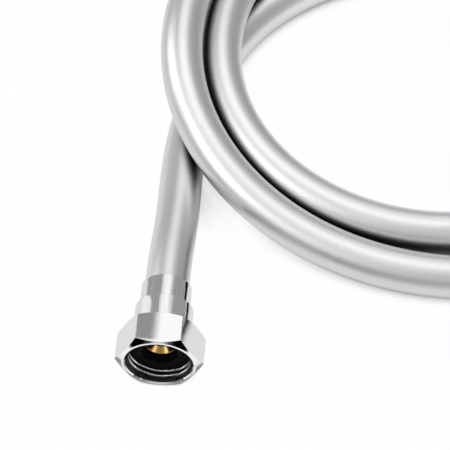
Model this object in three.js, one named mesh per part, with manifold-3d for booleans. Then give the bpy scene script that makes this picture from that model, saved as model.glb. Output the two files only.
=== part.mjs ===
// Shower hose: a smooth laminated PVC hose with a swivelling G 1/2 coupling at each end, a hexagon nut at one
// end and a conical nut at the other. It lies loosely coiled on the plane Z = 0. All sizes are in millimetres.
// Each coupling is drawn along its own Y axis: Y = 0 is the mouth of the nut and +Y runs back into the hose.

import * as THREE from "three";
import { mergeVertices } from "three/addons/utils/BufferGeometryUtils.js";
import Module from "manifold-3d";

// Hose
const hoseOuterDiameter = 14;
const hoseWall = 2.5;
const hoseSides = 12;
const hoseSteps = 52;

// Clearances between pieces
const seatGap = 0.3;
const runningGap = 0.35;

// Thread and washer of the G 1/2 coupling
const threadMajorDiameter = 20.96;
const mouthChamfer = 0.6;
const washerDepth = 4.2;
const washerThickness = 2.6;
const washerOuterDiameter = 18.4;
const washerHoleDiameter = 11.3;

// Tail: the turned insert that the nut turns on and the hose is crimped to
const tailFlangeInset = 0.2;
const tailFlangeThickness = 2;
const tailNeckDiameter = 12;
const tailMouthDiameter = 9.2;
const tailFunnelLength = 5;
const tailWall = 1.1;
const tailStemLength = 14;
const barbCount = 3;
const barbPitch = 4;
const barbDepth = 0.4;

// Ferrule crimped over the end of the hose
const ferruleWall = 0.6;
const ferruleLipThickness = 1;
const ferruleGripLength = 16.4;
const ferruleEdgeChamfer = 0.2;

// Parts of a nut that both kinds share
const nutShoulderThickness = 1.6;
const nutSkirtWall = 0.85;
const nutEdgeChamfer = 0.3;

// Hexagon nut
const hexSides = 6;
const hexAcrossFlats = 24;
const hexLength = 11.3;
const hexNutLength = 20.6;
const hexNoseDiameter = 23;
const hexRearNoseDiameter = 23.6;
const hexChamferAngle = THREE.MathUtils.degToRad(30);

// Conical nut
const coneMouthDiameter = 24;
const coneRimLength = 8;
const coneNutLength = 25;

// Roundness of the turned pieces
const turnedSegments = 36;

// Where the two mouths lie on the plane; both face -Y and each nut rests on its side
const hexMouth = new THREE.Vector3(-95, -118.5, hexAcrossFlats / 2);
const coneMouth = new THREE.Vector3(97, -94, coneMouthDiameter / 2);

// Sizes that follow from the ones above
const hoseRadius = hoseOuterDiameter / 2;
const hoseBoreRadius = hoseRadius - hoseWall;
const tailFlangeRadius = washerOuterDiameter / 2 - tailFlangeInset;
const flangeFront = washerDepth + washerThickness + seatGap;
const flangeBack = flangeFront + tailFlangeThickness;
const shoulderFront = flangeBack + seatGap;
const shoulderBack = shoulderFront + nutShoulderThickness;
const ferruleFront = shoulderBack + runningGap;
const neckEnd = ferruleFront + ferruleLipThickness;
const hoseStart = neckEnd + seatGap;
const ferruleRear = neckEnd + ferruleGripLength;
const stemRadius = hoseBoreRadius - seatGap;
const ferruleBoreRadius = hoseRadius + seatGap;
const ferruleRadius = ferruleBoreRadius + ferruleWall;
const skirtBoreRadius = ferruleRadius + runningGap;
const skirtRadius = skirtBoreRadius + nutSkirtWall;
const hexCornerRadius = hexAcrossFlats / 2 / Math.cos(Math.PI / hexSides);

// The hose leaves each coupling straight along its axis for this length, through two guide points
const straightLead = 28;

// Route of the hose between its two straight leads, as control points chosen by hand: under both turns at the
// left, once round inside, then round twice outside, over the start in a long low hump each time
const routePoints = [
  [-93.9, -57, 9.5],
  [-94.9, -33, 7],
  [-91.4, -0.5, 7],
  [-77, 34, 7],
  [-46, 58.5, 7],
  [-11, 69, 7],
  [25, 60, 7],
  [50.5, 31.5, 7],
  [56, -6.5, 7],
  [39, -41, 7],
  [7, -59, 7],
  [-32, -58, 7],
  [-66.5, -40.5, 11.5],
  [-85.5, -11.5, 20],
  [-85, 24, 23.5],
  [-71, 61, 15.5],
  [-45, 85, 8],
  [-9.5, 94.5, 7],
  [27.5, 85.5, 7],
  [56, 62, 7],
  [72.5, 28.5, 7],
  [73.5, -8.5, 7],
  [59.5, -42.5, 7],
  [31, -69, 7],
  [-3, -78, 7],
  [-41.5, -70.5, 7],
  [-74, -52.5, 13.5],
  [-95, -25, 24],
  [-99.5, 9, 31.5],
  [-90, 48.5, 28.5],
  [-75, 79.5, 18.5],
  [-48.5, 104, 9.5],
  [-12.5, 114, 7],
  [24, 108, 7],
  [56, 89.5, 7],
  [80, 61, 7],
  [91.5, 27, 7],
  [95.5, -9, 7],
  [96.5, -34, 9.5],
];

const wasm = await Module();
wasm.setup();

const chrome = { color: 0xd4d7da, metalness: 1, roughness: 0.08 };
const brass = { color: 0xb98a4b, metalness: 1, roughness: 0.25 };
const silverPvc = { color: 0xc4c6c8, metalness: 0.35, roughness: 0.35 };
const rubber = { color: 0x141414, metalness: 0, roughness: 0.7 };

// A uniform cubic B-spline through space; it starts and ends at its first and last points
class HoseRoute extends THREE.Curve {
  constructor(points) {
    super();
    const last = points.length - 1;
    const before = points[0].clone().multiplyScalar(2).sub(points[1]);
    const after = points[last].clone().multiplyScalar(2).sub(points[last - 1]);
    this.controls = [before, ...points, after];
    this.arcLengthDivisions = 1200;
  }

  getPoint(t, target = new THREE.Vector3()) {
    const spans = this.controls.length - 3;
    const span = Math.min(Math.floor(t * spans), spans - 1);
    const u = t * spans - span;
    const weights = [
      (1 - u) ** 3 / 6,
      (3 * u ** 3 - 6 * u ** 2 + 4) / 6,
      (-3 * u ** 3 + 3 * u ** 2 + 3 * u + 1) / 6,
      u ** 3 / 6,
    ];
    target.set(0, 0, 0);
    weights.forEach((weight, i) => target.addScaledVector(this.controls[span + i], weight));
    return target;
  }
}

// Three guide points on a coupling's axis, from the end of the hose back along its straight lead
function leadPoints(mouth) {
  return [0, 0.5, 1].map((share) => new THREE.Vector3(0, hoseStart + straightLead * share, 0).add(mouth));
}

// A solid of revolution about Y from a closed outline of [radius, y] points, taken counter-clockwise
function turned(outline) {
  const points = outline.map(([radius, y]) => new THREE.Vector2(radius, y));
  points.push(points[0].clone());
  return new THREE.LatheGeometry(points, turnedSegments);
}

function toSolid(geometry) {
  const bare = geometry.clone();
  bare.deleteAttribute("normal");
  bare.deleteAttribute("uv");
  const merged = mergeVertices(bare.index ? bare : mergeVertices(bare));
  return new wasm.Manifold(
    new wasm.Mesh({
      numProp: 3,
      vertProperties: new Float32Array(merged.attributes.position.array),
      triVerts: new Uint32Array(merged.index.array),
    }),
  );
}

function toGeometry(solid) {
  const mesh = solid.getMesh();
  const geometry = new THREE.BufferGeometry();
  geometry.setAttribute("position", new THREE.BufferAttribute(new Float32Array(mesh.vertProperties), 3));
  geometry.setIndex(new THREE.BufferAttribute(new Uint32Array(mesh.triVerts), 1));
  geometry.computeVertexNormals();
  return geometry;
}

// The hollow inside either nut: chamfered mouth, thread bore, hole in the shoulder, then the skirt over the ferrule
function nutHollow(nutLength) {
  const threadRadius = threadMajorDiameter / 2;
  const neckHoleRadius = tailNeckDiameter / 2 + runningGap;
  const beyond = 1;
  return toSolid(
    turned([
      [0, -beyond],
      [threadRadius + mouthChamfer + beyond, -beyond],
      [threadRadius, mouthChamfer],
      [threadRadius, shoulderFront],
      [neckHoleRadius, shoulderFront],
      [neckHoleRadius, shoulderBack],
      [skirtBoreRadius, shoulderBack],
      [skirtBoreRadius, nutLength + beyond],
      [0, nutLength + beyond],
    ]),
  );
}

// Hexagon nut: chamfered hexagon with one flat up, round skirt behind it
function hexNut() {
  const corners = Array.from({ length: hexSides }, (_, corner) => {
    const angle = (corner * 2 * Math.PI) / hexSides;
    return new THREE.Vector2(hexCornerRadius * Math.cos(angle), hexCornerRadius * Math.sin(angle));
  });
  const prism = new THREE.ExtrudeGeometry(new THREE.Shape(corners), { depth: hexLength, bevelEnabled: false });
  prism.rotateX(-Math.PI / 2);

  const outside = hexCornerRadius + 1;
  const slope = Math.tan(hexChamferAngle);
  const noseRadius = hexNoseDiameter / 2;
  const rearNoseRadius = hexRearNoseDiameter / 2;
  const chamfers = turned([
    [0, 0],
    [noseRadius, 0],
    [outside, (outside - noseRadius) * slope],
    [outside, hexLength - (outside - rearNoseRadius) * slope],
    [rearNoseRadius, hexLength],
    [0, hexLength],
  ]);
  const skirt = turned([
    [0, hexLength - 1],
    [skirtRadius, hexLength - 1],
    [skirtRadius, hexNutLength - nutEdgeChamfer],
    [skirtRadius - nutEdgeChamfer, hexNutLength],
    [0, hexNutLength],
  ]);
  const body = toSolid(prism).intersect(toSolid(chamfers)).add(toSolid(skirt));
  return toGeometry(body.subtract(nutHollow(hexNutLength)));
}

// Conical nut: short straight rim, then a cone down to the skirt
function coneNut() {
  const rimRadius = coneMouthDiameter / 2;
  const body = turned([
    [0, 0],
    [rimRadius - nutEdgeChamfer, 0],
    [rimRadius, nutEdgeChamfer],
    [rimRadius, coneRimLength],
    [skirtRadius, coneNutLength - nutEdgeChamfer],
    [skirtRadius - nutEdgeChamfer, coneNutLength],
    [0, coneNutLength],
  ]);
  return toGeometry(toSolid(body).subtract(nutHollow(coneNutLength)));
}

// Flat rubber ring that lies on the flange of the tail
function washer() {
  return turned([
    [washerOuterDiameter / 2, washerDepth],
    [washerOuterDiameter / 2, washerDepth + washerThickness],
    [washerHoleDiameter / 2, washerDepth + washerThickness],
    [washerHoleDiameter / 2, washerDepth],
  ]);
}

// Tail: flange inside the nut, neck through its shoulder, then a barbed stem inside the hose
function tail() {
  const stemBoreRadius = stemRadius - tailWall;
  const neckRadius = tailNeckDiameter / 2;
  const stemEnd = hoseStart + tailStemLength;
  const barbs = [];
  for (let i = 0; i < barbCount; i += 1) {
    const crest = hoseStart + (i + 0.5) * barbPitch;
    barbs.push([stemRadius - barbDepth, crest], [stemRadius, crest], [stemRadius - barbDepth, crest + barbPitch * 0.8]);
  }
  return turned([
    [tailFlangeRadius, flangeFront],
    [tailFlangeRadius, flangeBack],
    [neckRadius, flangeBack],
    [neckRadius, neckEnd],
    [stemRadius - barbDepth, neckEnd],
    ...barbs,
    [stemRadius - barbDepth, stemEnd],
    [stemBoreRadius, stemEnd],
    [stemBoreRadius, flangeFront + tailFunnelLength],
    [tailMouthDiameter / 2, flangeFront],
  ]);
}

// Ferrule: thin sleeve over the end of the hose with a lip turned in over the neck of the tail
function ferrule() {
  const lipRadius = tailNeckDiameter / 2 + seatGap;
  return turned([
    [ferruleRadius - ferruleEdgeChamfer, ferruleFront],
    [ferruleRadius, ferruleFront + ferruleEdgeChamfer],
    [ferruleRadius, ferruleRear - ferruleEdgeChamfer],
    [ferruleRadius - ferruleEdgeChamfer, ferruleRear],
    [ferruleBoreRadius, ferruleRear],
    [ferruleBoreRadius, neckEnd],
    [lipRadius, neckEnd],
    [lipRadius, ferruleFront],
  ]);
}

// Hose: one laminated wall with an open bore, from one coupling to the other
function hose() {
  const circle = (radius) =>
    Array.from({ length: hoseSides }, (_, i) => {
      const angle = (i * 2 * Math.PI) / hoseSides;
      return new THREE.Vector2(radius * Math.cos(angle), radius * Math.sin(angle));
    });
  const section = new THREE.Shape(circle(hoseRadius));
  section.holes.push(new THREE.Path(circle(hoseBoreRadius)));
  const between = routePoints.map(([x, y, z]) => new THREE.Vector3(x, y, z));
  const route = new HoseRoute([...leadPoints(hexMouth), ...between, ...leadPoints(coneMouth).reverse()]);
  return new THREE.ExtrudeGeometry(section, { steps: hoseSteps, extrudePath: route });
}

function piece(name, geometry, look) {
  const mesh = new THREE.Mesh(geometry, new THREE.MeshStandardMaterial(look));
  mesh.name = name;
  return mesh;
}

function coupling(prefix, nutGeometry, mouth) {
  const group = new THREE.Group();
  group.add(piece(`${prefix}_nut`, nutGeometry, chrome));
  group.add(piece(`${prefix}_washer`, washer(), rubber));
  group.add(piece(`${prefix}_tail`, tail(), brass));
  group.add(piece(`${prefix}_ferrule`, ferrule(), chrome));
  group.position.copy(mouth);
  return group;
}

const showerHose = new THREE.Group();
showerHose.add(piece("hose_tube", hose(), silverPvc));
showerHose.add(coupling("hex", hexNut(), hexMouth));
showerHose.add(coupling("cone", coneNut(), coneMouth));

export default showerHose;
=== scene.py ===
# Shower hose: about a metre and a half of smooth silver hose, loosely coiled, with a hexagon coupling nut
# at the near end and a conical one at the other. Everything is in metres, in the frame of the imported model.
# The two couplings are the same inside: each is drawn along its own Y axis, from the mouth of its nut back
# into the hose.
import math

import bmesh
import bpy
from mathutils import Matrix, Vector


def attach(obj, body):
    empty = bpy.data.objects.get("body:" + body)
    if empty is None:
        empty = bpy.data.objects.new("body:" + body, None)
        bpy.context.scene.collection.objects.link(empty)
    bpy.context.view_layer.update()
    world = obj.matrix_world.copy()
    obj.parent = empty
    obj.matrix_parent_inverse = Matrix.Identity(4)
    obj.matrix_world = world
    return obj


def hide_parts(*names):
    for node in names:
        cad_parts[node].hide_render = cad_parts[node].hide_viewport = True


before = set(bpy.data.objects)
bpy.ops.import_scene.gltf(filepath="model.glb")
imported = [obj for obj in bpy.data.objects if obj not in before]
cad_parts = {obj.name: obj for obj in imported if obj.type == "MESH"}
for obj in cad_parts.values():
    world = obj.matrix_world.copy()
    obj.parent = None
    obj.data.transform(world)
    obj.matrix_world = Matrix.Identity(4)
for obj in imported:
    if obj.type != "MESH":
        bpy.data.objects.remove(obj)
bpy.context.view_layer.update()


# Tails: the turned brass insert of each coupling. Its flange is trapped inside the nut, its neck passes
# through the nut's shoulder, and its barbed stem is pushed into the hose. Only the polished funnel at its
# mouth shows.
MOUTHS = {"hex": Vector((-0.095, -0.1185, 0.012)), "cone": Vector((0.097, -0.094, 0.012))}
ROUND_SIDES = 120
FLANGE_RADIUS = 0.009
FLANGE_FRONT = 0.0071
FLANGE_BACK = 0.0091
NECK_RADIUS = 0.006
NECK_END = 0.01235
HOSE_START = 0.01265
FUNNEL_RADIUS = 0.0046
FUNNEL_THROAT = 0.0089
FUNNEL_THROAT_RADIUS = 0.0032
FUNNEL_END = 0.0121
STEM_RADIUS = 0.0042
STEM_BORE_RADIUS = 0.0031
STEM_END = 0.02665
BARBS = 3
BARB_DEPTH = 0.0004
BARB_PITCH = 0.004
BARB_LENGTH = 0.8 * BARB_PITCH
CRISP, EASED, SOFT = 0.00005, 0.0001, 0.0002
FLANGE_ROUNDING = 0.00015
BARB_ROUNDING = 0.00003
FUNNEL_ROUNDING = 0.0006
ALONG = Vector((0, 1, 0))


def across(angle):
    """The direction square to a coupling's axis at an angle from +X towards +Z."""
    return Vector((math.cos(angle), 0, math.sin(angle)))


def rounded_corner(before, corner, after, steps=3):
    """The points of one rounded corner of an outline, each with the direction that its surface faces.

    A corner is (radius, along, rounding, direction that the edge after it faces from the axis).
    """
    here = Vector(corner[:2])
    arriving = (here - Vector(before[:2])).normalized()
    leaving = (Vector(after[:2]) - here).normalized()
    bend = math.atan2(arriving.x * leaving.y - arriving.y * leaving.x, arriving.dot(leaving))
    side = 1 if bend > 0 else -1
    start = here - corner[2] * math.tan(abs(bend) / 2) * arriving
    middle = start - side * corner[2] * Vector((arriving.y, -arriving.x))
    facing = arriving.y * before[3] - arriving.x * ALONG
    facing_after = leaving.y * corner[3] - leaving.x * ALONG
    points = []
    for step in range(steps + 1):
        share = step / steps
        c, s = math.cos(bend * share), math.sin(bend * share)
        turned = Vector((c * arriving.y + s * arriving.x, s * arriving.y - c * arriving.x))
        place = middle + side * corner[2] * turned
        points.append((place, ((1 - share) * facing + share * facing_after).normalized()))
    return points


def turned_columns(corners):
    """Columns of (point, facing) of a turned piece, from its closed outline, counter-clockwise."""
    columns = []
    for side in range(ROUND_SIDES):
        out = across(math.tau * side / ROUND_SIDES)
        ring = [(*corner, out) for corner in corners]
        column = []
        for i, corner in enumerate(ring):
            for place, facing in rounded_corner(ring[i - 1], corner, ring[(i + 1) % len(ring)]):
                column.append((place.x * out + place.y * ALONG, facing))
        columns.append(column)
    return columns


def skin(name, columns, mouth, body, material):
    """A piece on a body: one closed skin over columns of (point, facing) round its coupling's axis."""
    count = len(columns[0])
    faces = []
    for c in range(len(columns)):
        near, far = c * count, (c + 1) % len(columns) * count
        for p in range(count):
            q = (p + 1) % count
            faces.append((near + p, near + q, far + q, far + p))
    mesh = bpy.data.meshes.new(name)
    mesh.from_pydata([point for column in columns for point, _ in column], [], faces)
    mesh.shade_smooth()
    mesh.normals_split_custom_set_from_vertices([facing for column in columns for _, facing in column])
    mesh.materials.append(material)
    piece = bpy.data.objects.new(name, mesh)
    piece.location = mouth
    bpy.context.collection.objects.link(piece)
    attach(piece, body)
    return piece


def add(tree, kind, values=None, **settings):
    """A node in a node tree, with its settings and the values of its inputs."""
    node = tree.nodes.new(kind)
    for name, setting in settings.items():
        setattr(node, name, setting)
    for name, value in (values or {}).items():
        node.inputs[name].default_value = value
    return node


def feed(tree, *pairs):
    """Feeds outputs, plain numbers and colours to inputs."""
    for source, target in pairs:
        if isinstance(source, bpy.types.NodeSocket):
            tree.links.new(source, target)
        else:
            target.default_value = source


def maths(tree, operation, *terms):
    """A sum over outputs and numbers. Gives its output."""
    node = add(tree, "ShaderNodeMath", operation=operation)
    feed(tree, *zip(terms, node.inputs))
    return node.outputs[0]


def ramp(tree, source, start, end, low=0, high=1, smooth=False):
    """A value that goes from low to high as the source goes from start to end. Gives its output."""
    ends = {"From Min": start, "From Max": end, "To Min": low, "To Max": high}
    node = add(tree, "ShaderNodeMapRange", ends)
    if smooth:
        node.interpolation_type = "SMOOTHSTEP"
    feed(tree, (source, node.inputs["Value"]))
    return node.outputs["Result"]


def mixed(tree, share, first, second, kind="RGBA"):
    """A mix of two colours, or of two numbers where the kind is FLOAT. Gives its output."""
    node = add(tree, "ShaderNodeMix", data_type=kind)
    feed(tree, (share, node.inputs["Factor"]), (first, node.inputs["A"]), (second, node.inputs["B"]))
    return node.outputs["Result"]


def relief(tree, height, strength, depth, under=None):
    """The normals of a fine relief, laid over another relief where one is given."""
    bump = add(tree, "ShaderNodeBump", {"Strength": strength, "Distance": depth})
    feed(tree, (height, bump.inputs["Height"]))
    if under is not None:
        feed(tree, (under, bump.inputs["Normal"]))
    return bump.outputs["Normal"]


def split_place(tree, space="Object"):
    """Where a point is, as one output, and its X, Y and Z."""
    place = add(tree, "ShaderNodeTexCoord").outputs[space]
    split = add(tree, "ShaderNodeSeparateXYZ")
    feed(tree, (place, split.inputs[0]))
    return place, *split.outputs


def from_axis(tree, place):
    """How far a place is from its coupling's axis."""
    flat = add(tree, "ShaderNodeVectorMath", {1: (1, 0, 1)}, operation="MULTIPLY")
    length = add(tree, "ShaderNodeVectorMath", operation="LENGTH")
    feed(tree, (place, flat.inputs[0]), (flat.outputs[0], length.inputs[0]))
    return length.outputs["Value"]


def new_effect(name, **inputs):
    """A node group for a surface effect that puts out Height. Gives the group and the nodes at its ends."""
    group = bpy.data.node_groups.new(name, "ShaderNodeTree")
    for socket, default in inputs.items():
        made = group.interface.new_socket(name=socket, in_out="INPUT", socket_type="NodeSocketFloat")
        made.default_value = default
    group.interface.new_socket(name="Height", in_out="OUTPUT", socket_type="NodeSocketFloat")
    return group, group.nodes.new("NodeGroupInput"), group.nodes.new("NodeGroupOutput")


def place_effect(tree, group, **values):
    """A surface effect in a material, with its own values. Gives its output."""
    return add(tree, "ShaderNodeGroup", values, node_tree=group).outputs["Height"]


def new_finish(name, colour, metallic, roughness):
    """A material with a plain shader. Gives the material, its node tree and its shader."""
    material = bpy.data.materials.new(name)
    material.use_nodes = True
    shader = material.node_tree.nodes["Principled BSDF"]
    shader.inputs["Base Color"].default_value = (*colour, 1)
    shader.inputs["Metallic"].default_value = metallic
    shader.inputs["Roughness"].default_value = roughness
    return material, material.node_tree, shader


def coat(tree, shader, colour, roughness, normal):
    """Gives a shader the colour, roughness and relief of its finish."""
    feed(
        tree,
        (colour, shader.inputs["Base Color"]),
        (roughness, shader.inputs["Roughness"]),
        (normal, shader.inputs["Normal"]),
    )


# Mottling: soft blotches of a size in metres, from 0 to 1.
mottling, start, end = new_effect("mottling", Size=0.001, Detail=3)
blotches = add(mottling, "ShaderNodeTexNoise", {"Roughness": 0.6})
feed(
    mottling,
    (add(mottling, "ShaderNodeTexCoord").outputs["Object"], blotches.inputs["Vector"]),
    (maths(mottling, "DIVIDE", 1, start.outputs["Size"]), blotches.inputs["Scale"]),
    (start.outputs["Detail"], blotches.inputs["Detail"]),
    (ramp(mottling, blotches.outputs["Fac"], 0.3, 0.7), end.inputs["Height"]),
)

# Turning marks: fine rings round the coupling's axis, a spacing apart along it and out from it.
turning_marks, start, end = new_effect("turning_marks", Spacing=0.0002)
place, _, along, _ = split_place(turning_marks)
travel = maths(turning_marks, "ADD", along, from_axis(turning_marks, place))
rings = add(turning_marks, "ShaderNodeTexNoise", {"Scale": 1, "Detail": 2}, noise_dimensions="1D")
feed(
    turning_marks,
    (maths(turning_marks, "DIVIDE", travel, start.outputs["Spacing"]), rings.inputs["W"]),
    (rings.outputs["Fac"], end.inputs["Height"]),
)

CLEAN_BRASS = (0.66, 0.42, 0.17, 1)
TARNISHED_BRASS = (0.5, 0.27, 0.09, 1)
brass, tree, shader = new_finish("brass", (0.62, 0.37, 0.14), 1, 0.12)
tarnish = place_effect(tree, mottling, Size=0.0012)
coat(
    tree,
    shader,
    colour=mixed(tree, tarnish, CLEAN_BRASS, TARNISHED_BRASS),
    roughness=ramp(tree, tarnish, 0, 1, low=0.09, high=0.22),
    normal=relief(tree, place_effect(tree, turning_marks, Spacing=0.00025), strength=0.35, depth=0.00001),
)

tail_corners = [
    (FLANGE_RADIUS, FLANGE_FRONT, FLANGE_ROUNDING),
    (FLANGE_RADIUS, FLANGE_BACK, FLANGE_ROUNDING),
    (NECK_RADIUS, FLANGE_BACK, EASED),
    (NECK_RADIUS, NECK_END, EASED),
    (STEM_RADIUS - BARB_DEPTH, NECK_END, CRISP),
]
for barb in range(BARBS):
    crest = HOSE_START + (barb + 0.5) * BARB_PITCH
    tail_corners += [
        (STEM_RADIUS - BARB_DEPTH, crest, BARB_ROUNDING),
        (STEM_RADIUS, crest, BARB_ROUNDING),
        (STEM_RADIUS - BARB_DEPTH, crest + BARB_LENGTH, BARB_ROUNDING),
    ]
tail_corners += [
    (STEM_RADIUS - BARB_DEPTH, STEM_END, EASED),
    (STEM_BORE_RADIUS, STEM_END, EASED),
    (STEM_BORE_RADIUS, FUNNEL_END, FUNNEL_ROUNDING),
    (FUNNEL_THROAT_RADIUS, FUNNEL_THROAT, SOFT),
    (FUNNEL_RADIUS, FLANGE_FRONT, FLANGE_ROUNDING),
]
for end, mouth in MOUTHS.items():
    skin(f"{end}_brass_tail", turned_columns(tail_corners), mouth, "hose", brass)
    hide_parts(f"{end}_tail")


# Washers: a flat ring of black rubber in each nut, loose in front of the tail's flange. The outlet that the
# coupling screws onto squeezes it and so seals the joint.
WASHER_RADIUS = 0.0092
WASHER_HOLE_RADIUS = 0.00565
WASHER_FRONT = 0.0042
WASHER_BACK = 0.0068
WASHER_ROUNDING = 0.0003

PLAIN_RUBBER = (0.002, 0.002, 0.002, 1)
BLOOMED_RUBBER = (0.006, 0.006, 0.006, 1)
black_rubber, tree, shader = new_finish("black_rubber", (0.012, 0.012, 0.012), 0, 0.6)
shader.inputs["Specular IOR Level"].default_value = 0.1
bloom = place_effect(tree, mottling, Size=0.002)
moulded = place_effect(tree, mottling, Size=0.00025, Detail=2)
coat(
    tree,
    shader,
    colour=mixed(tree, bloom, PLAIN_RUBBER, BLOOMED_RUBBER),
    roughness=ramp(tree, bloom, 0, 1, low=0.45, high=0.75),
    normal=relief(tree, moulded, strength=0.5, depth=0.00004),
)

washer_corners = [
    (WASHER_RADIUS, WASHER_FRONT, WASHER_ROUNDING),
    (WASHER_RADIUS, WASHER_BACK, WASHER_ROUNDING),
    (WASHER_HOLE_RADIUS, WASHER_BACK, SOFT),
    (WASHER_HOLE_RADIUS, WASHER_FRONT, SOFT),
]
for end, mouth in MOUTHS.items():
    skin(
        f"{end}_rubber_washer", turned_columns(washer_corners), mouth, "hose", black_rubber
    )
    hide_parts(f"{end}_washer")


# Nuts: brass bar, turned, threaded G 1/2 inside and chrome plated. The near one is a chamfered hexagon with
# a round skirt, the far one a plain cone. Each turns freely on its tail, and its skirt covers the front of
# the ferrule.
RIM_INNER_RADIUS = 0.01085
LEAD_IN = 0.001
THREAD_ROOT_RADIUS = 0.0104
THREAD_CREST_RADIUS = 0.00932
THREAD_PITCH = 0.001814
THREAD_STEP = THREAD_PITCH / 14
THREAD_FACES_END = 0.0091
RUN_OUT = 0.0082
RUN_OUT_LENGTH = 0.0004
SHOULDER_FRONT = 0.0094
SHOULDER_BACK = 0.011
SHOULDER_HOLE_RADIUS = 0.00635
SKIRT_RADIUS = 0.0091
SKIRT_BORE_RADIUS = 0.00825
SKIRT_CHAMFER = 0.0003
HEX_HALF_WIDTH = 0.012
HEX_EDGE_ROUNDING = 0.0005
HEX_LENGTH = 0.0113
HEX_NUT_LENGTH = 0.0206
HEX_NOSE_RADIUS = 0.0115
HEX_REAR_NOSE_RADIUS = 0.0118
HEX_CHAMFER_SLOPE = math.tan(math.radians(30))
HEX_CROWN = 0.05
HEX_FLAT_COLUMNS = 20
CONE_RIM_RADIUS = 0.012
CONE_RIM_LENGTH = 0.008
CONE_RIM_ROUNDING = 0.0003
CONE_EDGE_ROUNDING = 0.0004
CONE_NUT_LENGTH = 0.025
CONE_SIDES = 144
SIXTH = math.tau / 6


def thread_row(angle, along):
    """Radius of the inside of a nut: a right-hand thread between a lead-in and a groove at its end."""
    turn = (along / THREAD_PITCH + angle / math.tau) % 1
    height = 0.5 * abs(2 * turn - 1) + 0.25 * (1 + math.cos(math.tau * turn))
    height *= 1 - min(max((along - RUN_OUT) / RUN_OUT_LENGTH, 0), 1)
    thread = THREAD_ROOT_RADIUS - height * (THREAD_ROOT_RADIUS - THREAD_CREST_RADIUS)
    return max(thread, RIM_INNER_RADIUS - along)


def thread_point(angle, along):
    """A point of the inside of a nut, and the direction that its surface faces."""
    nudge = 1e-5
    radius = thread_row(angle, along)
    climb = (thread_row(angle, along + nudge) - thread_row(angle, along - nudge)) / (2 * nudge)
    turn = nudge / radius
    swing = (thread_row(angle + turn, along) - thread_row(angle - turn, along)) / (2 * nudge)
    round_axis = Vector((-math.sin(angle), 0, math.cos(angle)))
    facing = climb * ALONG + swing * round_axis - across(angle)
    return radius * across(angle) + along * ALONG, facing.normalized()


def nut_columns(angles, outside_at, length):
    """Columns of (point, facing) of a nut, whose outside is given at each angle as corners with facings."""
    columns = []
    for angle in angles:
        out = across(angle)
        corners = [
            (RIM_INNER_RADIUS - LEAD_IN, LEAD_IN, 0, out),
            (RIM_INNER_RADIUS, 0, CRISP, out),
            *outside_at(angle),
            (SKIRT_RADIUS, length - SKIRT_CHAMFER, EASED, out),
            (SKIRT_RADIUS - SKIRT_CHAMFER, length, EASED, out),
            (SKIRT_BORE_RADIUS, length, CRISP, out),
            (SKIRT_BORE_RADIUS, SHOULDER_BACK, EASED, out),
            (SHOULDER_HOLE_RADIUS, SHOULDER_BACK, CRISP, out),
            (SHOULDER_HOLE_RADIUS, SHOULDER_FRONT, CRISP, out),
            (THREAD_ROOT_RADIUS, SHOULDER_FRONT, EASED, out),
            (THREAD_ROOT_RADIUS, RUN_OUT, 0, out),
        ]
        column = []
        for before, corner, after in zip(corners, corners[1:], corners[2:]):
            for place, facing in rounded_corner(before, corner, after):
                column.append((place.x * out + place.y * ALONG, facing))
        rows = int(THREAD_FACES_END / THREAD_STEP)
        column += [thread_point(angle, THREAD_STEP * row) for row in range(rows, 0, -1)]
        columns.append(column)
    return columns


def hex_edge_reach():
    """Half the angle that one eased upright edge of the hexagon takes up, seen from the axis."""
    middle = (HEX_HALF_WIDTH - HEX_EDGE_ROUNDING) / math.cos(SIXTH / 2)
    return math.atan2(
        HEX_EDGE_ROUNDING * math.sin(SIXTH / 2), middle + HEX_EDGE_ROUNDING * math.cos(SIXTH / 2)
    )


def hexagon_at(angle):
    """The hexagon nut's corners at an angle: flats between two cones, and six eased upright edges.

    Polishing has left each flat a little crowned, which shows in how it faces.
    """
    corner = round(angle / SIXTH) * SIXTH
    off = angle - corner
    middle = (HEX_HALF_WIDTH - HEX_EDGE_ROUNDING) / math.cos(SIXTH / 2)
    if abs(off) <= hex_edge_reach() + 1e-9:
        radius = middle * math.cos(off) + math.sqrt(HEX_EDGE_ROUNDING**2 - (middle * math.sin(off)) ** 2)
        turn = math.atan2(radius * math.sin(off), radius * math.cos(off) - middle)
        faces = corner + (1 - HEX_CROWN) * turn
    else:
        straight = corner + math.copysign(SIXTH / 2, off)
        radius = HEX_HALF_WIDTH / math.cos(angle - straight)
        faces = straight + HEX_CROWN * (angle - straight)
    out, flat = across(angle), across(faces)
    front = (radius - HEX_NOSE_RADIUS) * HEX_CHAMFER_SLOPE
    back = HEX_LENGTH - (radius - HEX_REAR_NOSE_RADIUS) * HEX_CHAMFER_SLOPE
    return [
        (HEX_NOSE_RADIUS, 0, EASED, out),
        (radius, front, EASED, flat),
        (radius, back, EASED, out),
        (HEX_REAR_NOSE_RADIUS, HEX_LENGTH, EASED, out),
        (SKIRT_RADIUS, HEX_LENGTH, SOFT, out),
    ]


def cone_at(angle):
    """The conical nut's corners: a short straight rim, then the cone down to the skirt."""
    out = across(angle)
    return [
        (CONE_RIM_RADIUS, 0, CONE_RIM_ROUNDING, out),
        (CONE_RIM_RADIUS, CONE_RIM_LENGTH, CONE_EDGE_ROUNDING, out),
    ]


hex_angles = []
for k in range(6):
    hex_angles += [k * SIXTH + hex_edge_reach() * share for share in (-1, -0.5, 0, 0.5, 1)]
    between = SIXTH - 2 * hex_edge_reach()
    hex_angles += [
        k * SIXTH + hex_edge_reach() + between * step / HEX_FLAT_COLUMNS
        for step in range(1, HEX_FLAT_COLUMNS)
    ]
cone_angles = [math.tau * side / CONE_SIDES for side in range(CONE_SIDES)]

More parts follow.
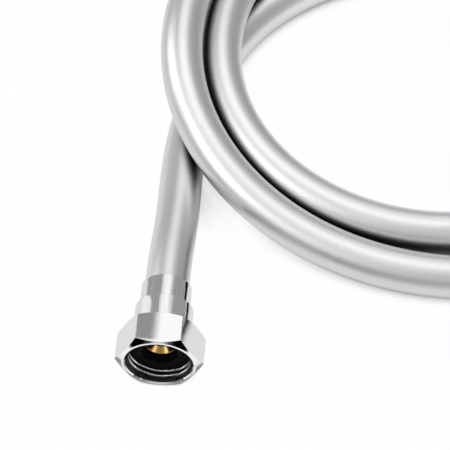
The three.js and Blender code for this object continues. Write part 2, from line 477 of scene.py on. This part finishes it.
# Polishing lines: fine streaks along the coupling's axis, of a width in metres.
STREAK_SQUEEZE = 0.04
polishing_lines, start, end = new_effect("polishing_lines", Width=0.0006)
drawn_out = add(polishing_lines, "ShaderNodeVectorMath", {1: (1, STREAK_SQUEEZE, 1)}, operation="MULTIPLY")
streaks = add(polishing_lines, "ShaderNodeTexNoise", {"Detail": 3, "Roughness": 0.6})
feed(
    polishing_lines,
    (add(polishing_lines, "ShaderNodeTexCoord").outputs["Object"], drawn_out.inputs[0]),
    (drawn_out.outputs[0], streaks.inputs["Vector"]),
    (maths(polishing_lines, "DIVIDE", 1, start.outputs["Width"]), streaks.inputs["Scale"]),
    (streaks.outputs["Fac"], end.inputs["Height"]),
)

# Chrome plate: a hazy mirror, rougher in the roots of the thread, where its colour is painted near black as
# painted shade.
# Polishing lines show on the round parts, and hardly on the flats.
CLEAR_CHROME = (0.9, 0.905, 0.91, 1)
LINED_CHROME = (0.6, 0.6, 0.605, 1)
# The third colour is near black: painted shade in the roots of the thread.
PAINTED_THREAD_SHADE = (0.03, 0.029, 0.028, 1)
CREST_UNSHADED, ROOT_SHADED = 0.0094, 0.0098
ALL_ROUND, ALL_FLAT = 0.0095, 0.0105
FADE = 0.0002
LINES_ON_FLATS = 0.08
LINE_SHADE = 0.35
SHADED_ROUGHER = 0.15
chrome_plate, tree, shader = new_finish("chrome_plate", (0.88, 0.885, 0.89), 1, 0.07)
place, _, along, _ = split_place(tree)
radius = from_axis(tree, place)
in_thread = ramp(tree, radius, CREST_UNSHADED, ROOT_SHADED, smooth=True)
off_rim = ramp(tree, radius, THREAD_ROOT_RADIUS + FADE, THREAD_ROOT_RADIUS, smooth=True)
in_nut = ramp(tree, along, SHOULDER_FRONT + FADE, SHOULDER_FRONT)
# Painted shade: this mask darkens the chrome's colour to near black in the thread roots inside the nut.
painted_thread_shade = maths(tree, "MULTIPLY", maths(tree, "MULTIPLY", in_thread, off_rim), in_nut)
haze = ramp(tree, place_effect(tree, mottling, Size=0.003), 0, 1, low=0.05, high=0.11)
on_round = ramp(tree, radius, ALL_FLAT, ALL_ROUND, low=LINES_ON_FLATS)
lines = place_effect(tree, polishing_lines, Width=0.0007)
lined = maths(tree, "MULTIPLY", ramp(tree, lines, 0.35, 0.65, high=LINE_SHADE), on_round)
polished = relief(tree, maths(tree, "MULTIPLY", lines, on_round), strength=1, depth=0.00004)
rings = place_effect(tree, turning_marks, Spacing=0.0003)
coat(
    tree,
    shader,
    colour=mixed(tree, painted_thread_shade, mixed(tree, lined, CLEAR_CHROME, LINED_CHROME), PAINTED_THREAD_SHADE),
    roughness=maths(tree, "MULTIPLY_ADD", painted_thread_shade, SHADED_ROUGHER, haze),
    normal=relief(tree, rings, strength=0.12, depth=0.00001, under=polished),
)

nuts = {
    "hex": skin(
        "hexagon_nut", nut_columns(hex_angles, hexagon_at, HEX_NUT_LENGTH), MOUTHS["hex"], "hex_nut",
        chrome_plate,
    ),
    "cone": skin(
        "conical_nut", nut_columns(cone_angles, cone_at, CONE_NUT_LENGTH), MOUTHS["cone"], "cone_nut",
        chrome_plate,
    ),
}
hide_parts("hex_nut")
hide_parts("cone_nut")


# Ferrules: a thin chrome-plated sleeve over each end of the hose, crimped so that it grips the hose on the
# barbs. Its front lip is turned in over the neck of the tail.
FERRULE_RADIUS = 0.0079
FERRULE_BORE_RADIUS = 0.0073
FERRULE_LIP_RADIUS = 0.0063
FERRULE_FRONT = 0.01135
FERRULE_REAR = 0.02875

ferrule_corners = [
    (FERRULE_RADIUS, FERRULE_FRONT, SOFT),
    (FERRULE_RADIUS, FERRULE_REAR, SOFT),
    (FERRULE_BORE_RADIUS, FERRULE_REAR, EASED),
    (FERRULE_BORE_RADIUS, NECK_END, EASED),
    (FERRULE_LIP_RADIUS, NECK_END, CRISP),
    (FERRULE_LIP_RADIUS, FERRULE_FRONT, CRISP),
]
for end, mouth in MOUTHS.items():
    skin(
        f"{end}_ferrule_sleeve", turned_columns(ferrule_corners), mouth, "hose", chrome_plate
    )
    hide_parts(f"{end}_ferrule")


# Hose: the bonded wall of a 14 mm shower hose, a soft inner tube under a silver film and a clear satin
# cover. It is extruded in one length and lies as it was coiled for its box. Each end is clamped in its
# ferrule.
HOSE_RADIUS = 0.007
HOSE_BORE_RADIUS = 0.0045
HOSE_SIDES = 48
HOSE_BORE_SIDES = 24
RINGS_PER_SPAN = 18
STRAIGHT_LEAD = 0.028
HOSE_ROUTE_MM = [
    (-93.9, -57, 9.5), (-94.9, -33, 7), (-91.4, -0.5, 7), (-77, 34, 7), (-46, 58.5, 7), (-11, 69, 7),
    (25, 60, 7), (50.5, 31.5, 7), (56, -6.5, 7), (39, -41, 7), (7, -59, 7), (-32, -58, 7),
    (-66.5, -40.5, 11.5), (-85.5, -11.5, 20), (-85, 24, 23.5), (-71, 61, 15.5), (-45, 85, 8), (-9.5, 94.5, 7),
    (27.5, 85.5, 7), (56, 62, 7), (72.5, 28.5, 7), (73.5, -8.5, 7), (59.5, -42.5, 7), (31, -69, 7),
    (-3, -78, 7), (-41.5, -70.5, 7), (-74, -52.5, 13.5), (-95, -25, 24), (-99.5, 9, 31.5), (-90, 48.5, 28.5),
    (-75, 79.5, 18.5), (-48.5, 104, 9.5), (-12.5, 114, 7), (24, 108, 7), (56, 89.5, 7), (80, 61, 7),
    (91.5, 27, 7), (95.5, -9, 7), (96.5, -34, 9.5),
]


def lead(mouth):
    """The three guide points on a coupling's axis, from the end of the hose back along its straight lead."""
    return [mouth + (HOSE_START + STRAIGHT_LEAD * share) * ALONG for share in (0, 0.5, 1)]


def hose_line():
    """Points along the middle of the hose: a uniform cubic B-spline over the guide points."""
    route = [Vector(point) / 1000 for point in HOSE_ROUTE_MM]
    guides = [*lead(MOUTHS["hex"]), *route, *reversed(lead(MOUTHS["cone"]))]
    guides = [2 * guides[0] - guides[1], *guides, 2 * guides[-1] - guides[-2]]
    spans = len(guides) - 3
    points = []
    for ring in range(spans * RINGS_PER_SPAN + 1):
        span = min(ring // RINGS_PER_SPAN, spans - 1)
        u = ring / RINGS_PER_SPAN - span
        weights = ((1 - u) ** 3, 3 * u**3 - 6 * u**2 + 4, -3 * u**3 + 3 * u**2 + 3 * u + 1, u**3)
        points.append(sum((guides[span + i] * w for i, w in enumerate(weights)), Vector()) / 6)
    return points


line = hose_line()
steps_along = [(b - a).length for a, b in zip(line, line[1:])]
made = bmesh.new()
uv = made.loops.layers.uv.new("round_and_along")
skins = []
for radius, sides in ((HOSE_RADIUS, HOSE_SIDES), (HOSE_BORE_RADIUS, HOSE_BORE_SIDES)):
    rings = []
    for i, point in enumerate(line):
        ahead = (line[min(i + 1, len(line) - 1)] - line[max(i - 1, 0)]).normalized()
        right = ahead.cross(Vector((0, 0, 1))).normalized()
        up = right.cross(ahead)
        ring = []
        for side in range(sides):
            a = math.tau * side / sides - math.pi / 2
            ring.append(made.verts.new(point + radius * (math.cos(a) * right + math.sin(a) * up)))
        rings.append(ring)
    skins.append(rings)
    travelled = 0
    for near, far, step in zip(rings, rings[1:], steps_along):
        for i in range(sides):
            j = (i + 1) % sides
            corners = [
                (near[i], i / sides, travelled), (near[j], (i + 1) / sides, travelled),
                (far[j], (i + 1) / sides, travelled + step), (far[i], i / sides, travelled + step),
            ]
            if radius == HOSE_BORE_RADIUS:
                corners.reverse()
            face = made.faces.new([corner[0] for corner in corners])
            face.smooth = True
            for loop, corner in zip(face.loops, corners):
                loop[uv].uv = corner[1:]
        travelled += step
share = HOSE_SIDES // HOSE_BORE_SIDES
for end, turn in ((0, 1), (-1, -1)):
    for i in range(HOSE_BORE_SIDES):
        bore = [skins[1][end][i], skins[1][end][(i + 1) % HOSE_BORE_SIDES]]
        outer = [skins[0][end][(share * i + k) % HOSE_SIDES] for k in range(share, -1, -1)]
        made.faces.new([*bore, *outer][::turn])
hose_mesh = bpy.data.meshes.new("silver_hose")
made.to_mesh(hose_mesh)
made.free()
hose = bpy.data.objects.new("silver_hose", hose_mesh)
bpy.context.collection.objects.link(hose)

# Silver PVC: the film shows faint lengthwise streaks and a fine grain through the clear cover. Where two
# turns lie together hardly any light gets in between them, and there its colour is painted black as painted
# shade.
DEEP_SILVER = (0.8, 0.8, 0.805, 1)
PALE_SILVER = (0.88, 0.88, 0.885, 1)
# Black: painted shade between touching turns.
PAINTED_GAP_SHADE = (0, 0, 0, 1)
STREAKS_ROUND, STREAKS_ALONG = 26, 9
GAP_REACH = 0.012
CLOSED, OPEN = 0.15, 0.7
LIGHT_IN_GAPS = 0.03
silver_pvc, tree, shader = new_finish("silver_pvc", (0.78, 0.78, 0.785), 0.95, 0.38)
drawn_out = add(tree, "ShaderNodeVectorMath", {1: (STREAKS_ROUND, STREAKS_ALONG, 1)}, operation="MULTIPLY")
streaks = add(tree, "ShaderNodeTexNoise", {"Scale": 1, "Detail": 3, "Roughness": 0.6})
feed(
    tree,
    (add(tree, "ShaderNodeUVMap", uv_map="round_and_along").outputs["UV"], drawn_out.inputs[0]),
    (drawn_out.outputs[0], streaks.inputs["Vector"]),
)
film = mixed(tree, streaks.outputs["Fac"], DEEP_SILVER, PALE_SILVER)
# Painted shade: the hose's occlusion of itself blackens its colour where turns lie together.
openness = add(tree, "ShaderNodeAmbientOcclusion", {"Distance": GAP_REACH}, samples=8, only_local=True)
gap_light = ramp(tree, openness.outputs["AO"], CLOSED, OPEN, low=LIGHT_IN_GAPS, smooth=True)
coat(
    tree,
    shader,
    colour=mixed(tree, gap_light, PAINTED_GAP_SHADE, film),
    roughness=ramp(tree, streaks.outputs["Fac"], 0, 1, low=0.34, high=0.44),
    normal=relief(tree, place_effect(tree, mottling, Size=0.0004), strength=0.35, depth=0.00003),
)
hose_mesh.materials.append(silver_pvc)

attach(hose, "hose")
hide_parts("hose_tube")


# Setting: a white sweep under the hose in a small grey studio, with a long soft strip overhead, a soft panel
# at the left and two in front. The camera sees the sweep lifted to white, but for the shade close round the
# hose.
FLOOR_HALF = 3
floor_mesh = bpy.data.meshes.new("floor")
floor_corners = [(FLOOR_HALF * x, FLOOR_HALF * y, 0) for x, y in ((-1, -1), (1, -1), (1, 1), (-1, 1))]
floor_mesh.from_pydata(floor_corners, [], [(0, 1, 2, 3)])
floor = bpy.data.objects.new("floor", floor_mesh)
bpy.context.collection.objects.link(floor)


def lay_over(tree, share, under, upper):
    """Makes a material of one shader laid over another by a share."""
    blend = add(tree, "ShaderNodeMixShader")
    feed(
        tree,
        (share, blend.inputs["Fac"]),
        (under, blend.inputs[1]),
        (upper, blend.inputs[2]),
        (blend.outputs[0], tree.nodes["Material Output"].inputs["Surface"]),
    )


# In mirror reflections the sweep glows at a painted level: bright inside the coil and just before the
# couplings, a little darker under them, black further forward, with painted shade close round hose and nuts
# and a fade away from the middle.
# A painted dark line marks where the hexagon's mouth touches down.
SWEEP_SEEN = 0.985
SWEEP_UNDER_NUT = 0.8
# Painted shade: the level of the sweep in reflections along the line where the hexagon's mouth touches down.
PAINTED_MOUTH_SHADE = 0.35
SHADE_REACH = 0.015
SHADED, CLEAR = 0.05, 0.5
UNDER_NUT, BEFORE_NUT = -0.117, -0.135
OUTSIDE_COIL, INSIDE_COIL = 0.1, 0.05
BLACK_FRONT, BRIGHT_FRONT = -0.18, -0.152
MOUTH_LINE = -0.121
ON_LINE, OFF_LINE = 0.0008, 0.0034
FAR_AWAY, NEAR_BY = 0.8, 0.2
sweep, tree, shader = new_finish("white_sweep", (0.86, 0.86, 0.86), 0, 0.9)
shader.inputs["Specular IOR Level"].default_value = 0.1
lifted = add(tree, "ShaderNodeEmission")
light_path = add(tree, "ShaderNodeLightPath")
to_camera = light_path.outputs["Is Camera Ray"]
openness = add(tree, "ShaderNodeAmbientOcclusion", {"Distance": SHADE_REACH}, samples=8).outputs["AO"]
place, _, back, _ = split_place(tree)
length = add(tree, "ShaderNodeVectorMath", operation="LENGTH")
feed(tree, (place, length.inputs[0]))
from_middle = length.outputs["Value"]
off_mouth = maths(tree, "ABSOLUTE", maths(tree, "SUBTRACT", back, MOUTH_LINE))
# Painted reflection: the glow that reflections see on the sweep, set by place and darkened by painted shade.
painted_reflection_level = maths(
    tree,
    "MAXIMUM",
    ramp(tree, back, UNDER_NUT, BEFORE_NUT, low=SWEEP_UNDER_NUT, smooth=True),
    ramp(tree, from_middle, OUTSIDE_COIL, INSIDE_COIL, smooth=True),
)
for painted_darkening in (
    ramp(tree, back, BLACK_FRONT, BRIGHT_FRONT, smooth=True),
    ramp(tree, off_mouth, ON_LINE, OFF_LINE, low=PAINTED_MOUTH_SHADE),
    ramp(tree, openness, CLOSED, OPEN, smooth=True),
    ramp(tree, from_middle, FAR_AWAY, NEAR_BY),
):
    painted_reflection_level = maths(tree, "MULTIPLY", painted_reflection_level, painted_darkening)
white = ramp(tree, openness, SHADED, CLEAR, high=SWEEP_SEEN, smooth=True)
seen = maths(tree, "MULTIPLY", white, to_camera)
share = maths(tree, "MAXIMUM", light_path.outputs["Is Glossy Ray"], seen)
feed(tree, (mixed(tree, to_camera, painted_reflection_level, 1, kind="FLOAT"), lifted.inputs["Strength"]))
lay_over(tree, share, shader.outputs[0], lifted.outputs[0])
floor_mesh.materials.append(sweep)

# The studio: a grey back, a front that is dark low down but for one pale opening, and a pale ceiling.
BACK_WALL = 0.35
FRONT_LOW = 0.05
FRONT_HIGH = 0.65
FRONT_OPENING = 0.8
CEILING = 0.9
OPENING_SIDE, OPENING_INSIDE = 0.36, 0.24
SILL, OVER_SILL = 0.03, 0.08
LINTEL, UNDER_LINTEL = 0.24, 0.18
FRONT_DARK_TO, FRONT_PALE_FROM = 0.25, 0.55
FRONT_BEGINS, FRONT_ALONE = -0.5, -0.85
WALLS_END, CEILING_BEGINS = 0.86, 0.95
world = bpy.data.worlds.new("studio")
bpy.context.scene.world = world
world.use_nodes = True
tree = world.node_tree
surroundings = tree.nodes["Background"]
surroundings.inputs["Color"].default_value = (1, 1, 1, 1)
_, right, back, up = split_place(tree, "Generated")
sideways = maths(tree, "ABSOLUTE", right)
in_width = ramp(tree, sideways, OPENING_SIDE, OPENING_INSIDE, high=FRONT_OPENING, smooth=True)
over_sill = ramp(tree, up, SILL, OVER_SILL, smooth=True)
under_lintel = ramp(tree, up, LINTEL, UNDER_LINTEL, smooth=True)
opening = maths(tree, "MULTIPLY", in_width, maths(tree, "MULTIPLY", over_sill, under_lintel))
front_wall = ramp(
    tree, up, FRONT_DARK_TO, FRONT_PALE_FROM, low=FRONT_LOW, high=FRONT_HIGH, smooth=True
)
front = maths(tree, "MAXIMUM", opening, front_wall)
towards_front = ramp(tree, back, FRONT_BEGINS, FRONT_ALONE, smooth=True)
towards_ceiling = ramp(tree, up, WALLS_END, CEILING_BEGINS, smooth=True)
walls = mixed(tree, towards_front, BACK_WALL, front, kind="FLOAT")
room = mixed(tree, towards_ceiling, walls, CEILING, kind="FLOAT")
to_camera = add(tree, "ShaderNodeLightPath").outputs["Is Camera Ray"]
feed(tree, (mixed(tree, to_camera, room, 1, kind="FLOAT"), surroundings.inputs["Strength"]))


def soft_panel(name, place, towards, size, brightness, fades):
    """A soft area lamp, as bright as it is told, where 1 is white.

    Its size is (width, height), and it fades at the left and right over two shares of its width.
    """
    lamp_data = bpy.data.lights.new(name, "AREA")
    lamp_data.shape = "RECTANGLE"
    lamp_data.size, lamp_data.size_y = size
    lamp_data.energy = math.pi * size[0] * size[1]
    lamp_data.use_nodes = True
    tree = lamp_data.node_tree
    split = add(tree, "ShaderNodeSeparateXYZ")
    feed(tree, (add(tree, "ShaderNodeNewGeometry").outputs["Parametric"], split.inputs[0]))
    left = ramp(tree, split.outputs["X"], 0, fades[0], smooth=True)
    right = ramp(tree, split.outputs["X"], 1, 1 - fades[1], high=brightness, smooth=True)
    feed(tree, (maths(tree, "MULTIPLY", left, right), tree.nodes["Emission"].inputs["Strength"]))
    lamp = bpy.data.objects.new(name, lamp_data)
    lamp.location = place
    lamp.rotation_euler = (Vector(towards) - Vector(place)).to_track_quat("-Z", "Y").to_euler()
    bpy.context.collection.objects.link(lamp)


MIDDLE = (0, 0, 0)
soft_panel("overhead_strip", (0.045, 0.7, 0.8), (0.045, 0.7, 0), (0.97, 1.4), 0.7, (0.26, 0.47))
soft_panel("front_left_panel", (-1.05, -0.68, 1), MIDDLE, (1.3, 1), 2, (0.35, 0.35))
soft_panel("front_right_panel", (0.75, -0.85, 0.65), MIDDLE, (0.6, 0.8), 1.6, (0.4, 0.4))
soft_panel("left_panel", (-1.1, 0.25, 0.65), MIDDLE, (0.9, 0.8), 1.7, (0.3, 0.3))

# Three small cards beside the hexagon nut, which only its mirror finish shows. A black strip gives it one
# dark line, a grey card shades the left of the top flat, and a white one lights the left of the skirt.


def hidden_card(name, corners, tone, faded=None):
    """A flat card of one tone, which only reflections show.

    Where it fades in, faded gives the axis and the two places on it between which it does.
    """
    mesh = bpy.data.meshes.new(name)
    mesh.from_pydata(corners, [], [(0, 1, 2, 3)])
    card = bpy.data.objects.new(name, mesh)
    card.visible_camera = False
    card.visible_diffuse = False
    card.visible_shadow = False
    bpy.context.collection.objects.link(card)
    material, tree, _ = new_finish(name, (tone, tone, tone), 0, 0.9)
    shown = 1
    if faded:
        axis, start, end = faded
        shown = ramp(tree, split_place(tree)[1 + "XYZ".index(axis)], start, end, smooth=True)
    clear = add(tree, "ShaderNodeBsdfTransparent").outputs[0]
    lay_over(tree, shown, clear, add(tree, "ShaderNodeEmission", {"Strength": tone}).outputs[0])
    mesh.materials.append(material)


hidden_card(
    "black_strip",
    [
        (-0.078, -0.0985, 0.0122), (-0.078, -0.063, 0.0122),
        (-0.078, -0.063, 0.0157), (-0.078, -0.0985, 0.0157),
    ],
    tone=0.01,
)
hidden_card(
    "grey_card",
    [
        (-0.112, -0.1012, 0.048), (-0.0958, -0.1012, 0.048),
        (-0.0958, -0.0872, 0.048), (-0.112, -0.0872, 0.048),
    ],
    tone=0.3,
    faded=("X", -0.0962, -0.1004),
)
hidden_card(
    "white_card",
    [
        (-0.111, -0.0985, 0.0165), (-0.111, -0.0894, 0.0165),
        (-0.111, -0.0894, 0.034), (-0.111, -0.0985, 0.034),
    ],
    tone=0.95,
    faded=("Z", 0.034, 0.026),
)


# Camera: a long lens above and in front of the hexagon nut, so that only the near side of the coil is in
# view.
CAMERA_PLACE = Vector((-0.05042, -0.46404, 0.53559))
LOOKS_AT = Vector((-0.07909, -0.05407, 0))
camera_data = bpy.data.cameras.new("camera")
camera_data.lens = 163.5
camera_data.sensor_width = 36
camera = bpy.data.objects.new("camera", camera_data)
bpy.context.collection.objects.link(camera)
camera.location = CAMERA_PLACE
camera.rotation_euler = (LOOKS_AT - CAMERA_PLACE).to_track_quat("-Z", "Y").to_euler()
bpy.context.scene.camera = camera
bpy.context.scene.view_settings.view_transform = "Standard"
